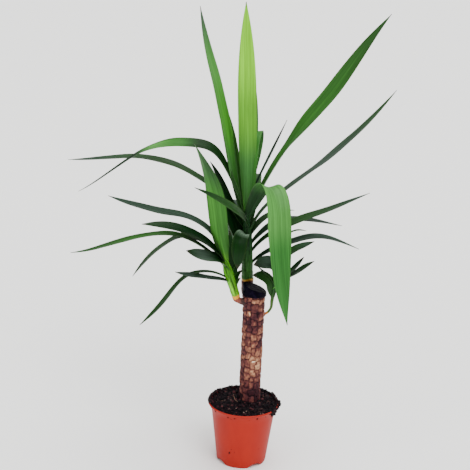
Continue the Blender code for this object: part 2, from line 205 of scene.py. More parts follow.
def pot_outline():
    """Up the inside from the floor's middle, over the bead, down the outside to the standing ring."""
    start, top = WALL + FLOOR_FILLET, POT_HEIGHT - 2 * BEAD_RADIUS
    levels = [start + (top - start) * i / WALL_STEPS for i in range(WALL_STEPS + 1)]
    inside = [(wall_radius(z) - WALL, z) for z in levels]
    outside = [(wall_radius(z), z) for z in reversed(levels)]
    bead = [(MOUTH_RADIUS - BEAD_RADIUS + BEAD_RADIUS * cos(radians(a)),
             POT_HEIGHT - BEAD_RADIUS + BEAD_RADIUS * sin(radians(a))) for a in range(195, -60, -15)]
    corner = [(BASE_RADIUS - 0.00005, 0.0012), (BASE_RADIUS - 0.0003, 0.0004), (BASE_RADIUS - 0.0009, 0)]
    ring = [(BASE_RADIUS - STANDING_RING, 0.0), (BASE_RADIUS - STANDING_RING - RING_HEIGHT, RING_HEIGHT),
            (0, RING_HEIGHT)]
    return [(0, WALL), (BASE_RADIUS - WALL - 0.001, WALL), *inside, *bead, *outside, *corner, *ring]


def as_tool(mesh):
    """A mesh as an object in a collection that is removed once it has been used."""
    made = bpy.data.objects.new("tool", mesh)
    mould_tools.objects.link(made)
    return made


def combine(base, operation, tool):
    """Cut the base by a tool, or join the tool to it."""
    step = base.modifiers.new(operation, "BOOLEAN")
    step.operation = operation
    step.solver = "EXACT"
    step.object = tool


def evaluated(made):
    """The mesh of an object with its modifiers applied."""
    return bpy.data.meshes.new_from_object(made.evaluated_get(bpy.context.evaluated_depsgraph_get()))


def scallop_bar(turn, extra):
    """A lying bar that shapes one scallop, made thicker by extra for the skin that lines the cut."""
    half_chord = SCALLOP_WIDTH / 2
    radius = (half_chord ** 2 + SCALLOP_HEIGHT ** 2) / (2 * SCALLOP_HEIGHT)
    bm = bmesh.new()
    bmesh.ops.create_cone(bm, cap_ends=True, segments=72, radius1=radius + extra, radius2=radius + extra,
                          depth=SCALLOP_REACH + 2 * extra)
    mesh = mesh_from(bm)
    spot = polar(SCALLOP_INNER + SCALLOP_REACH / 2, turn, SCALLOP_HEIGHT - radius)
    mesh.transform(Matrix.Translation(spot) @ Matrix.Rotation(turn, 4, "Z") @ Matrix.Rotation(pi / 2, 4, "Y"))
    return mesh


mould_tools = bpy.data.collections.new("mould_tools")
scene.collection.children.link(mould_tools)
scallop_turns = [SCALLOP_FIRST + number * tau / SCALLOPS for number in range(SCALLOPS)]
skin_depth = WALL / 2
core = [(0, skin_depth), (wall_radius(0) - skin_depth, skin_depth),
        (wall_radius(CORE_HEIGHT) - skin_depth, CORE_HEIGHT), (0, CORE_HEIGHT)]
pot_blank = as_tool(lathe(pot_outline()))
for turn in scallop_turns:
    lining = as_tool(scallop_bar(turn, WALL))
    combine(lining, "INTERSECT", as_tool(lathe(core)))
    combine(pot_blank, "UNION", as_tool(evaluated(lining)))
for turn in scallop_turns:
    combine(pot_blank, "DIFFERENCE", as_tool(scallop_bar(turn, 0)))
pot_shell = evaluated(pot_blank)
for tool in list(mould_tools.objects):
    bpy.data.objects.remove(tool)
bpy.data.collections.remove(mould_tools)

# Injection-moulded polypropylene: a soft satin sheen, an even colour with faint flow marks down the wall,
# and a film of dried compost dust that gathers at the lip and round the foot.
pot_plastic, node, finish = new_material("moulded_terracotta_polypropylene")
place = node("ShaderNodeTexCoord").outputs["Object"]
flow = noise_in(node, 60, 3, stretch=(1, 1, 0.45))
plain = node("ShaderNodeValToRGB", {"Fac": flow}, stops=[(0.3, "#9A1B0D"), (0.7, "#A22111")])
grit = noise_in(node, 420, 5, 0.7)
axes = node("ShaderNodeSeparateXYZ", {"Vector": place}).outputs
foot_dust = ranged(node, axes["Z"], 0.016, 0.0, 0.0, 0.4)
lip_dust = ranged(node, axes["Z"], 0.094, 0.106, 0.0, 0.3)
dust_share = node("ShaderNodeMath", {0: foot_dust, 1: lip_dust})
dust_spots = ranged(node, grit, 0.5, 0.72, 0.0, 1.0)
dust = node("ShaderNodeMath", {0: dust_share, 1: dust_spots}, operation="MULTIPLY")
dusty = node("ShaderNodeMixRGB", {"Fac": dust, "Color1": plain, "Color2": linear_from_hex("#3A1A12")})
# Nearly black along the top: on the inside of the wall above the compost, and over the lip at the back.
level_space = node("ShaderNodeMapping", {"Vector": place, "Scale": (1, 1, 0)})
reach = node("ShaderNodeVectorMath", {0: level_space}, operation="LENGTH").outputs["Value"]
inside = ranged(node, reach, 0.0588, 0.058, 0.0, 1.0)
behind = ranged(node, axes["Y"], -0.022, 0.006, 0.0, 1.0)
inside_and_back_top = node("ShaderNodeMath", {0: inside, 1: behind}, operation="MAXIMUM")
high = ranged(node, axes["Z"], 0.101, 0.1026, 0.0, 0.88)
darkening = node("ShaderNodeMath", {0: inside_and_back_top, 1: high}, operation="MULTIPLY")
dusted_and_darkened = node("ShaderNodeMixRGB", {"Fac": darkening, "Color1": dusty, "Color2": linear_from_hex("#1C0708")})
finish(dusted_and_darkened, ranged(node, flow, 0.3, 0.7, 0.44, 0.54), ior=1.49, specular=0.16, bump=(flow, 0.1, 0.0004))

add_piece("pot_shell", pot_shell, pot_plastic, "pot", radians(35))


# Compost
# Moist peat-based potting compost that fills the pot to the lip: near black, crumbly, with reddish bark,
# pale grit and loose fibres, and heaped a little against the back of the lip.

SOIL_LEVEL = 0.0995
SOIL_BACK_RISE = 0.003
SOIL_MOUND = 0.003
SOIL_EDGE = 0.1
SOIL_BOTTOM = 0.009
SOIL_TURNS = 200
SOIL_RINGS = 60
CANE_X = 0.01
CANE_Y = 0.018
CANE_RADIUS = 0.0178
CANE_FOOT = 0.01
CANE_HOLE = CANE_RADIUS + 0.0006
CLEARANCE = 0.0003
CRUMBS = 1250
CHIPS = 64
GRITS = 14
FIBRES = 90
STRAND_SIDES = 5
STRAND_STEPS = 8
# The larger pale pieces, and one long pale root that lies in an arc to the left of the cane
PALE_PIECES = ((-0.0405, -0.0304, 0.0017), (-0.0385, -0.033, 0.0012), (-0.0123, -0.0202, 0.0011),
               (0.0011, -0.034, 0.0014), (-0.02, -0.04, 0.0009), (0.029, -0.035, 0.0008))
PALE_ROOT = ((-0.0156, 0.0392), (-0.0178, 0.025), (-0.015, 0.01), (-0.0075, -0.0036))
chance = Random(7)
draw, between = chance.random, chance.uniform


def soil_height(x, y):
    """A mounded surface with lumps of several sizes, in metres."""
    reach = hypot(x - CANE_X, y - CANE_Y)
    mound = SOIL_MOUND * max(0.0, 1 - reach / MOUTH_RADIUS)
    back = SOIL_BACK_RISE * y / MOUTH_RADIUS
    lumps = 0.0018 * noise(Vector((x, y, 0.02)) / 0.011)
    clods = 0.002 * noise(Vector((x, y, 0.0)) / 0.0052)
    crumbs = 0.0009 * noise(Vector((x, y, 0.0)) / 0.0018)
    return SOIL_LEVEL + mound + back + lumps + clods + crumbs


def inner_radius(z):
    """The radius of the compost against the wall."""
    return wall_radius(z) - WALL - CLEARANCE


def on_soil(x, y, lift):
    """A point a little above the compost."""
    return Vector((x, y, soil_height(x, y) + lift))


def soil_spots(count, margin, nearest, gap):
    """Places on the compost by chance, a margin in from the lip and a gap away from the cane."""
    for _ in range(count):
        turn = between(0, tau)
        reach = (MOUTH_RADIUS - margin) * between(nearest, 1.0) ** 0.5
        x, y = reach * cos(turn), reach * sin(turn)
        if hypot(x - CANE_X, y - CANE_Y) >= CANE_RADIUS + gap:
            yield x, y


def tube_faces(turns, steps, first=0):
    """The faces of a closed tube whose points run ring by ring."""
    faces = []
    for low in range(first, first + turns * steps, turns):
        high = low + turns
        faces += [(low + k, low + (k + 1) % turns, high + (k + 1) % turns, high + k) for k in range(turns)]
    end = first + turns * steps
    return [*faces, tuple(range(first + turns - 1, first - 1, -1)), tuple(range(end, end + turns))]


def point_mesh(spots, faces, **layers):
    """A mesh that carries named numbers, vectors or colours on its points."""
    kinds = {1: ("FLOAT", "value"), 3: ("FLOAT_VECTOR", "vector"), 4: ("FLOAT_COLOR", "color")}
    mesh = bpy.data.meshes.new("part")
    mesh.from_pydata(spots, [], faces)
    for layer, values in layers.items():
        rows = [value if isinstance(value, tuple) else (value,) for value in values]
        kind, field = kinds[len(rows[0])]
        mesh.attributes.new(layer, kind, "POINT").data.foreach_set(field, [n for row in rows for n in row])
    return mesh


def face_out(mesh):
    """The mesh with all its faces turned outwards."""
    bm = bmesh.new()
    bm.from_mesh(mesh)
    bmesh.ops.recalc_face_normals(bm, faces=bm.faces)
    bm.to_mesh(mesh)
    bm.free()
    return mesh


def closed_loft(rings):
    """A closed mesh through rings of equal count, capped at both ends."""
    spots = [spot for ring in rings for spot in ring]
    return face_out(point_mesh(spots, tube_faces(len(rings[0]), len(rings) - 1)))


def lump_mesh(lumps, rough=0.35):
    """Many small broken lumps in one mesh; each is a spot, a size, three stretches and a tone."""
    ball = bmesh.new()
    bmesh.ops.create_icosphere(ball, subdivisions=2, radius=1)
    shape = [v.co.copy() for v in ball.verts]
    faces = [[v.index for v in f.verts] for f in ball.faces]
    ball.free()
    spots, polygons, tones = [], [], []
    for spot, size, stretch, tone in lumps:
        angle = between(0, tau)
        axis = Vector((between(-1, 1), between(-1, 1), between(0.2, 1))).normalized()
        turn = Matrix.Rotation(angle, 3, axis)
        shift = Vector((between(0, 50), between(0, 50), 0))
        first = len(spots)
        for co in shape:
            bulge = 1 + rough * noise(co * 1.3 + shift) + rough * noise(co * 2.7 + shift)
            local = turn @ (co * Vector(stretch))
            spots.append(spot + local * size * bulge)
            tones.append(tone)
        polygons += [[first + i for i in f] for f in faces]
    return point_mesh(spots, polygons, tone=tones)


def strand_mesh(strands):
    """Many thin strands in one mesh; each is a list of points, a radius and a tone."""
    spots, polygons, tones = [], [], []
    for points, radius, tone in strands:
        last = len(points) - 1
        polygons += tube_faces(STRAND_SIDES, last, len(spots))
        for i, point in enumerate(points):
            ahead = (points[min(i + 1, last)] - points[max(i - 1, 0)]).normalized()
            side = ahead.orthogonal().normalized()
            up = ahead.cross(side)
            thin = radius * (1 - 0.75 * abs(2 * i / last - 1) ** 3)
            for k in range(STRAND_SIDES):
                a = tau * k / STRAND_SIDES
                spots.append(point + thin * (side * cos(a) + up * sin(a)))
                tones.append(tone)
    return point_mesh(spots, polygons, tone=tones)


def point_value(node, layer, output="Fac"):
    """What a mesh carries on its points under a name."""
    return node("ShaderNodeAttribute", attribute_name=layer).outputs[output]


def toned_material(name, roughness, stops, specular=None, grainy=False):
    """A dull material whose colour follows the tone of each crumb or strand."""
    made, node, finish = new_material(name)
    tone = point_value(node, "tone")
    bump = (noise_in(node, 900, 4), 0.7, 0.0005) if grainy else None
    finish(node("ShaderNodeValToRGB", {"Fac": tone}, stops=stops), roughness, specular=specular, bump=bump)
    return made


soil_turns = [tau * i / SOIL_TURNS for i in range(SOIL_TURNS)]
hole_edge = [(CANE_X + CANE_HOLE * cos(a), CANE_Y + CANE_HOLE * sin(a)) for a in soil_turns]
soil_rings = [[(x, y, CANE_FOOT) for x, y in hole_edge]]
for step in range(SOIL_RINGS + 1):
    ring = []
    for a, edge in zip(soil_turns, hole_edge):
        wall = inner_radius(SOIL_EDGE) * Vector((cos(a), sin(a), 0))
        spot = Vector((*edge, 0)).lerp(wall, step / SOIL_RINGS)
        ring.append(on_soil(spot.x, spot.y, 0))
    soil_rings.append(ring)
for z in (0.096, 0.092, 0.088, 0.08, 0.04, SOIL_BOTTOM):
    soil_rings.append([polar(inner_radius(z), a, z) for a in soil_turns])

# Wet peat: nearly black with a brown cast, dull in the hollows, with a wet glint on the crumbs.
peat, node, finish = new_material("moist_peat_compost")
clods = noise_in(node, 260, 6, 0.75)
earth = node("ShaderNodeValToRGB", {"Fac": clods},
             stops=[(0.34, "#040205"), (0.5, "#0B050A"), (0.62, "#1C0A12"), (0.76, "#38181E")])
finish(earth, 0.82, specular=0.1, bump=(clods, 0.8, 0.0012))
add_piece("compost", closed_loft(soil_rings), peat, "soil")

# Crumbs of peat: nearly black to reddish brown from piece to piece, grainy, with a faint wet glint.
crumb_look = toned_material("compost_crumbs", 0.7, [(0, "#050306"), (0.6, "#12080E"), (0.85, "#2C1219"),
                                                    (1, "#4E282A")], specular=0.14, grainy=True)
crumbs = []
for x, y in soil_spots(CRUMBS, 0.0052, 0.0, 0.001):
    size = 0.0006 + 0.0026 * draw() ** 2.5
    stretch = (1, between(0.6, 1), between(0.5, 0.9))
    crumbs.append((on_soil(x, y, 0.3 * size), size, stretch, draw() ** 1.8))
add_piece("compost_crumbs", lump_mesh(crumbs), crumb_look, "soil")

# Composted bark: flat reddish-brown flakes, a few millimetres long, dry on top.
bark_chip = toned_material("composted_bark_chips", 0.75,
                           [(0, "#14070B"), (0.6, "#301216"), (1, "#6A3A34")])
chips = []
for x, y in soil_spots(CHIPS, 0.007, 0.05, 0.003):
    size = between(0.0012, 0.003)
    stretch = (1, between(0.35, 0.7), between(0.2, 0.35))
    chips.append((on_soil(x, y, 0.0006), size, stretch, draw()))
add_piece("bark_chips", lump_mesh(chips), bark_chip, "soil")

# Pale grit: perlite and lime crumbs, dull buff where the peat has stained them.
pale_grit = toned_material("stained_perlite_grit", 0.9,
                           [(0, "#4E3630"), (0.7, "#86685C"), (1, "#AA9086")])
grits = [(on_soil(x, y, 0.6 * size), size, (1, 0.7, 0.6), 0.9) for x, y, size in PALE_PIECES]
for x, y in soil_spots(GRITS, 0.007, 0.05, 0.002):
    size = between(0.0005, 0.0013)
    grits.append((on_soil(x, y, 0.0006), size, (1, 0.8, 0.8), draw()))
add_piece("pale_grit", lump_mesh(grits), pale_grit, "soil")

# Peat fibres and fine roots: thin springy strands that lie over the surface and stand up at the lip.
fibre_look = toned_material("peat_fibres", 0.8, [(0, "#0C0606"), (0.7, "#2A1816"), (1, "#7A5A4A")])
fibres = [([on_soil(x + 0.0011 * i, y + 0.0005 * i, 0.001) for i in range(-4, 5)], 0.00045, 0.95)
          for x, y in ((0.037, 0.024), (0.049, 0.021), (0.03, -0.02), (-0.034, 0.006))]
bends = [Vector((*spot, 0)) for spot in PALE_ROOT]
arc = [low.lerp(high, i / STRAND_STEPS) for low, high in zip(bends, bends[1:]) for i in range(STRAND_STEPS)]
fibres.append(([on_soil(p.x, p.y, 0.0014) for p in [*arc, bends[-1]]], 0.00055, 1.0))
for x, y in soil_spots(FIBRES, 0.008, 0.1, 0.006):
    heading, bend = between(0, tau), between(-0.25, 0.25)
    points = []
    for i in range(STRAND_STEPS + 1):
        points.append(on_soil(x, y, 0.0004 + 0.0008 * sin(pi * i / STRAND_STEPS)))
        heading += bend
        x, y = x + 0.0014 * cos(heading), y + 0.0014 * sin(heading)
    if max(hypot(p.x, p.y) for p in points) < MOUTH_RADIUS - 0.004:
        fibres.append((points, between(0.00012, 0.00028), draw()))
add_piece("peat_fibres", strand_mesh(fibres), fibre_look, "soil")


# Compost on the lip
# Crumbs and fibres that were spilled when the plant was potted: a ragged line on the back of the lip, one
# dark matted clump that hangs over the lip at the right, and a few specks dried on the wall.

LIP_FROM = 12
LIP_TO = 196
CLUMP_FROM = -38
CLUMP_TO = 2
CLUMP_DROP = 0.0165
LIP_CRUMBS = 430
CLUMP_CRUMBS = 230
CLUMP_TOP_CRUMBS = 60
WALL_CRUMBS = 420
HEAP_CRUMBS = 16
LIP_FIBRES = 34
# Small heaps that stand up on the lip: heading and height
HEAPS = ((140, 0.0022), (112, 0.003), (32, 0.0044), (2, 0.0034), (176, 0.0016), (63, 0.0018))
# Specks of splashed compost, dried flat on the outside of the wall: heading, height and size
SPLASHES = ((-116, 0.0283, 0.0019), (-112, 0.0357, 0.0008), (-105, 0.0308, 0.0007), (-52, 0.0353, 0.0008),
            (-111, 0.095, 0.0008), (-128, 0.05, 0.0004), (75, 0.04, 0.0007), (140, 0.03, 0.0006))

lip_crumbs = []
for _ in range(LIP_CRUMBS):
    turn = radians(between(LIP_FROM, LIP_TO))
    size = 0.0006 + 0.0017 * draw() ** 2
    reach = MOUTH_RADIUS - between(0.0008, 0.0048)
    z = POT_HEIGHT + between(-0.0004, 0.001) * draw() + 0.35 * size
    lip_crumbs.append((polar(reach, turn, z), size, (1, between(0.6, 1), 0.7), draw() ** 1.8))
for _ in range(CLUMP_CRUMBS):
    share = draw()
    turn = radians(CLUMP_FROM + (CLUMP_TO - CLUMP_FROM) * share)
    z = POT_HEIGHT + 0.001 - CLUMP_DROP * sin(pi * share) ** 0.7 * draw()
    size = 0.0009 + 0.0016 * draw() ** 1.5
    reach = wall_radius(min(z, POT_HEIGHT)) + 0.35 * size + 0.0022 * sin(pi * share) * draw()
    lip_crumbs.append((polar(reach, turn, z), size, (1, between(0.6, 1), 0.8), draw() ** 2))
for _ in range(CLUMP_TOP_CRUMBS):
    turn = radians(between(CLUMP_FROM - 4, CLUMP_TO + 10))
    size = 0.0008 + 0.0014 * draw()
    reach = MOUTH_RADIUS - between(0.0, 0.0045)
    lip_crumbs.append((polar(reach, turn, POT_HEIGHT + 0.3 * size), size, (1, 0.8, 0.7), draw() ** 2))
# Peat pressed against the wall on the inside, above the compost.
for _ in range(WALL_CRUMBS):
    turn = radians(between(CLUMP_FROM - 6, LIP_TO + 20))
    size = 0.0006 + 0.0012 * draw()
    reach = MOUTH_RADIUS - between(0.0032, 0.0052)
    z = between(SOIL_LEVEL, POT_HEIGHT - 0.0004)
    lip_crumbs.append((polar(reach, turn, z), size, (1, 0.8, 0.7), draw() ** 2))
for degrees, high in HEAPS:
    for _ in range(HEAP_CRUMBS):
        turn = radians(degrees + chance.gauss(0, 2.2))
        share = draw()
        spot = polar(MOUTH_RADIUS - between(0.0005, 0.003), turn, POT_HEIGHT + high * share)
        lip_crumbs.append((spot, 0.0014 - 0.0008 * share, (1, 0.8, 0.9), draw() ** 2))
add_piece("lip_crumbs", lump_mesh(lip_crumbs), crumb_look, "soil")

lip_fibres = []
for _ in range(LIP_FIBRES):
    share = draw()
    turn = radians(CLUMP_FROM + (CLUMP_TO - CLUMP_FROM) * share)
    drift = between(-0.012, 0.012)
    length = CLUMP_DROP * (0.5 + 0.8 * sin(pi * share)) * between(0.6, 1.0)
    points = []
    for i in range(STRAND_STEPS + 1):
        z = POT_HEIGHT + 0.0012 - length * (i / STRAND_STEPS) ** 1.3
        reach = wall_radius(min(z, POT_HEIGHT)) + 0.0006 + 0.001 * sin(pi * i / STRAND_STEPS)
        points.append(polar(reach, turn + drift * i, z))
    lip_fibres.append((points, between(0.00018, 0.00035), 0.5 * draw()))
add_piece("lip_fibres", strand_mesh(lip_fibres), fibre_look, "soil")

splashes = [(polar(wall_radius(z) + 0.0001, radians(degrees), z), size, (1, 0.9, 0.5), 0.7)
            for degrees, z, size in SPLASHES]
add_piece("dried_splashes", lump_mesh(splashes, 0.2), crumb_look, "pot")


# Cane
# A length of old trunk, rooted in the pot: soft fibrous wood under bark that has split into small blocky
# plates between rows of leaf scars, with a swelling where each shoot has broken out.

CANE_TOP = 0.3005
CANE_TOP_SLOPE = -0.35
CANE_TURNS = 216
CANE_STEP = 0.00062
BARK_FROM = 0.084
WAX_EDGE = 0.2895
SCAR_PITCH = 0.0126
PLATES = 11
CRACK = 0.0008
PALE_HEIGHT = 0.166
STAIN_HEIGHT = 0.24
DAMP_HEIGHT = 0.142
# Marks seen on the front: distance to the right of the axis, height, half width, half height and tone
BARK_MARKS = ((0.0046, 0.1762, 0.0036, 0.0009, 1.1), (-0.0141, 0.2589, 0.0014, 0.004, 0.4),
              (-0.0059, 0.2612, 0.0014, 0.004, 0.4), (0.009, 0.2599, 0.006, 0.0045, -0.4),
              (-0.0052, 0.2472, 0.0055, 0.005, -0.4))


def step_between(low, high, value):
    """0 below low, 1 above high, and a smooth step between them."""
    share = min(max((value - low) / (high - low), 0.0), 1.0)
    return share * share * (3 - 2 * share)


def bark_at(around, z):
    """The bark at a point: how deep its crack is, its plate's tone, and its relief in metres."""
    unit = polar(1, around, z / CANE_RADIUS)
    plate_place = around / tau * PLATES + 0.45 * noise(unit * 1.4 + Vector((9, 0, 0)))
    plate_place += 0.24 * noise(unit * 3.0) + 0.05 * noise(unit * 8)
    plate = floor(plate_place)
    across = plate_place - plate
    plate %= PLATES
    wander = 0.0024 * noise(unit * 1.3) + 0.0012 * noise(unit * 4.5) + 0.0016 * sin(z * 310)
    ring_place = (z + wander) / SCAR_PITCH + 0.34 * cell(Vector((plate + 0.5, 3.5, 0.5)))
    ring = floor(ring_place)
    along = ring_place - ring
    upright = min(across, 1 - across) * tau * CANE_RADIUS / PLATES
    level = min(along, 1 - along) * SCAR_PITCH
    split = CRACK * (0.6 + 1.1 * noise(unit * 3.1 + Vector((0, 5, 0))))
    scar = CRACK * (0.8 + 1.0 * noise(unit * 2.6 + Vector((0, 0, 5))))
    deep = max(1 - step_between(0.25 * split, split + 0.0005, upright),
               1 - step_between(0.25 * scar, scar + 0.0006, level))
    own = cell(Vector((plate + 0.5, ring + 0.5, 1.5))) - 0.5
    front = exp(-((cos(around) - 0.17) ** 2 + (sin(around) + 0.98) ** 2) / 0.7)
    pale = exp(-((z - PALE_HEIGHT) / 0.03) ** 2) * front
    darkening = exp(-((z - STAIN_HEIGHT) / 0.01) ** 2) * front + 1.9 * step_between(DAMP_HEIGHT, 0.11, z)
    mottle = noise(unit * 4.5 + Vector((1, 2, 3)))
    grain = noise(Vector((unit.x * 14, unit.y * 14, unit.z * 5)))
    # Painted light and shade on the domed plates: lighter in the middle of each plate, darker towards its
    # edges.
    inner = 1 - exp(-(min(upright, 0.8 * level) / 0.0018) ** 1.5)
    tone = 0.48 + 0.16 * inner + 0.2 * own + 0.22 * pale - 0.13 * darkening + 0.2 * mottle + 0.1 * grain
    if sin(around) < 0:
        for side, height, half_wide, half_high, change in BARK_MARKS:
            away = ((CANE_RADIUS * cos(around) - side) / half_wide) ** 2 + ((z - height) / half_high) ** 2
            tone += change * exp(-away)
    dome = min(upright / 0.003, 1) * min(level / 0.003, 1)
    relief = -0.0012 * deep + 0.0006 * dome + 0.0005 * own + 0.00014 * grain
    relief += 0.0005 * noise(polar(1, around, z * 40))
    return deep, min(max(tone, 0.0), 1.0), relief


cane_levels = [CANE_FOOT, 0.05, 0.09]
while cane_levels[-1] < CANE_TOP - 0.001:
    cane_levels.append(cane_levels[-1] + CANE_STEP)
cane_spots, cracks, tones = [], [], []
for z in cane_levels:
    shown = step_between(BARK_FROM, 0.092, z) * (1 - step_between(WAX_EDGE - 0.002, WAX_EDGE + 0.003, z))
    for i in range(CANE_TURNS):
        around = tau * i / CANE_TURNS
        deep, tone, relief = bark_at(around, z)
        radius = CANE_RADIUS + relief * shown
        x, y = CANE_X + radius * cos(around), CANE_Y + radius * sin(around)
        lift = step_between(0.285, CANE_TOP, z) * CANE_TOP_SLOPE * (x - CANE_X)
        cane_spots.append((x, y, z + lift))
        cracks.append(deep)
        tones.append(tone)
cane_faces = tube_faces(CANE_TURNS, len(cane_levels) - 1)

# Dry yucca bark: dull corky plates from buff to purple-brown, nearly black in the splits, worn paler half
# way up and stained darker by damp compost at the foot.
bark, node, finish = new_material("split_yucca_bark")
tone = point_value(node, "tone")
crack = point_value(node, "crack")
plate = node("ShaderNodeValToRGB", {"Fac": tone},
             stops=[(0.05, "#1E0A12"), (0.28, "#3E1820"), (0.5, "#673632"), (0.72, "#9A664E"),
                    (0.96, "#D8AA80"), (1, "#F6E8CC")])
corky = noise_in(node, 700, 5, 0.7, stretch=(1, 1, 0.35))
grained = shaded(node, plate, ranged(node, corky, 0.3, 0.7, 0.78, 1.14))
split = ranged(node, crack, 0.15, 0.85, 0.0, 0.52)
split_bark = node("ShaderNodeMixRGB", {"Fac": split, "Color1": grained, "Color2": linear_from_hex("#260D12")})
finish(split_bark, 0.78, ior=1.45, specular=0.25, bump=(corky, 0.6, 0.0008))
cane_mesh = point_mesh(cane_spots, cane_faces, crack=cracks, tone=tones)
add_piece("cane_bark", cane_mesh, bark, "cane")


# Swellings of bark at the shoots
# Where a shoot has broken through, the bark is pushed up into a low collar with a torn pinkish-orange lip.

COLLAR_TURNS = 40
COLLAR_STEPS = 40
# Each shoot's root in the cane, the girth and reach of its collar of bark, then its foot, lean (heading and
# rise), length, and radii from root to top
SHOOTS = {
    "shoot_top": dict(
        root=((0.006, 0.029, 0.258), (0.001, 0.04, 0.268), (-0.0017, 0.0455, 0.284)),
        collar=(0.0112, 0.015), foot=(-0.002, 0.0465, 0.302), lean=(180, 87), length=0.125,
        radii=(0.0052, 0.007, 0.0094, 0.0102, 0.0074)),
    "shoot_left": dict(
        root=((-0.002, 0.0158, 0.276), (-0.011, 0.0148, 0.278), (-0.0184, 0.0142, 0.2815)),
        collar=(0.0066, 0.0158), foot=(-0.0205, 0.014, 0.288), lean=(180, 71), length=0.064,
        radii=(0.0034, 0.0044, 0.0058, 0.0068, 0.0088)),
    "shoot_right": dict(
        root=((0.022, 0.015, 0.254), (0.033, 0.0145, 0.26), (0.0385, 0.0142, 0.269)),
        collar=(0.0044, 0.0085), foot=(0.0395, 0.014, 0.28), lean=(10, 84), length=0.05,
        radii=(0.002, 0.0021, 0.0022, 0.0028, 0.0036)),
}


def swept_tube(points, radii, turns, tint_at, wave_at):
    """A closed tube through points, with its colour and its relief at (share, turn)."""
    spots, tints = [], []
    last = len(points) - 1
    side = (points[1] - points[0]).orthogonal().normalized()
    for i, (point, radius) in enumerate(zip(points, radii)):
        ahead = (points[min(i + 1, last)] - points[max(i - 1, 0)]).normalized()
        side = (side - ahead * side.dot(ahead)).normalized()
        up = ahead.cross(side)
        for k in range(turns):
            a = tau * k / turns
            spots.append(point + (radius + wave_at(i / last, a)) * (side * cos(a) + up * sin(a)))
            tints.append(tint_at(i / last, a))
    return point_mesh(spots, tube_faces(turns, last), tint=tints)


def blend_tints(first, second, share):
    """A mix of two linear colours."""
    return tuple(a + (b - a) * share for a, b in zip(first, second))


def smooth_value(values, s):
    """A smooth curve through even steps, read at s from 0 to 1; a number is the same all along."""
    if isinstance(values, (int, float)):
        return values
    last = len(values) - 1
    x = min(max(s, 0.0), 1.0) * last
    i = min(int(x), last - 1)
    f = x - i
    before, start = values[max(i - 1, 0)], values[i]
    end, after = values[i + 1], values[min(i + 2, last)]
    leave, arrive = (end - before) / 2, (after - start) / 2
    return ((2*f**3 - 3*f**2 + 1) * start + (f**3 - 2*f**2 + f) * leave
            + (3*f**2 - 2*f**3) * end + (f**3 - f**2) * arrive)


def smooth_path(points, values, count):
    """Points and values on a smooth curve through the given ones."""
    return [[smooth_value(row, n / count) for n in range(count + 1)] for row in (points, values)]


collar_dark, collar_pink, collar_orange = (linear_from_hex(c) for c in ("#3A1614", "#8E5242", "#C07A44"))


def collar_tint(share, turn):
    """Dull bark at the root, then pink, then orange at the torn edge."""
    low = blend_tints(collar_dark, collar_pink, step_between(0.45, 0.8, share))
    return blend_tints(low, collar_orange, step_between(0.84, 0.97, share))


# Torn bark and callus: the same dull cork, turning pink and then orange at the fresh edge.
callus, node, finish = new_material("callused_bark")
tint = point_value(node, "tint", "Color")
callus_noise = noise_in(node, 520, 5)
callus_colour = shaded(node, tint, ranged(node, callus_noise, 0.35, 0.65, 0.6, 1.15))
finish(callus_colour, 0.7, bump=(callus_noise, 0.7, 0.001))

for name, shoot in SHOOTS.items():
    girth, reach = shoot["collar"]
    inner, outer = (Vector(point) for point in shoot["root"][:2])
    ahead = (outer - inner).normalized()
    points = [inner + ahead * reach * t for t in (-0.9, -0.5, 0.0, 0.4, 0.7, 0.9, 1.0, 0.96)]
    radii = [girth * g for g in (0.9, 1.0, 1.0, 0.93, 0.8, 0.66, 0.52, 0.4)]
    points, radii = smooth_path(points, radii, COLLAR_STEPS)

    def collar_wave(share, turn):
        spot = polar(1, turn, 4 * share)
        return 0.1 * girth * noise(spot * 1.6) + 0.05 * girth * noise(spot * 5)

    mesh = swept_tube(points, radii, COLLAR_TURNS, collar_tint, collar_wave)
    add_piece(f"bark_collar_{name[6:]}", mesh, callus, "cane")


# Sealing wax
# The cut end of the cane was dipped in dark wax to keep it from drying out: a thin coat with a soft sagging
# edge, and the ridges of the saw cut showing through its sloping top.

WAX_TURNS = 160
WAX_INNER = CANE_RADIUS + 0.0009
WAX_OUTER = WAX_INNER + 0.0014
WAX_SIDE_STEPS = 14
WAX_SAG = 0.0016
WAX_CREST = 0.0012

# Radius and level of each ring; level runs from -1 at the hanging edge to 0 at the sloping top
wax_sides = [(WAX_INNER, 0.0), (WAX_INNER, -1.0), (WAX_INNER + 0.0006, -1.05), (WAX_OUTER - 0.0002, -1.0)]
wax_sides += [(WAX_OUTER, -0.92 + 0.92 * i / WAX_SIDE_STEPS) for i in range(WAX_SIDE_STEPS)]
wax_sides += [(WAX_OUTER - WAX_CREST * (1 - cos(radians(a))), 0.001 * sin(radians(a)))
              for a in (20, 45, 70, 90)]
wax_sides += [(radius, WAX_CREST) for radius in (0.0165, 0.014, 0.011, 0.008, 0.005, 0.002)]


def wax_spot(radius, level, a):
    """A point of the wax at a turn, in metres."""
    x = CANE_X + radius * cos(a)
    top = CANE_TOP - 0.0001 + CANE_TOP_SLOPE * (x - CANE_X)
    bottom = WAX_EDGE + WAX_SAG * noise(polar(1, a, 0) * 1.5)
    bottom += 0.0007 * noise(polar(1, a, 3) * 4.0)
    z = top + (level if level > 0 else level * (top - bottom))
    run = 0.0004 * noise(polar(3.2, a, z * 60))
    swell = run + 0.0003 * noise(polar(1, a, z * 200) * 2)
    shown = radius + (swell if radius > WAX_INNER + 0.0004 and level <= 0 else 0.0)
    if level > 0:
        z += 0.0005 * noise(Vector((x, radius * sin(a), 0)) / 0.006) + 0.0008
    return (CANE_X + shown * cos(a), CANE_Y + shown * sin(a), z)


wax_rings = [[wax_spot(radius, level, tau * i / WAX_TURNS) for i in range(WAX_TURNS)]
             for radius, level in wax_sides]

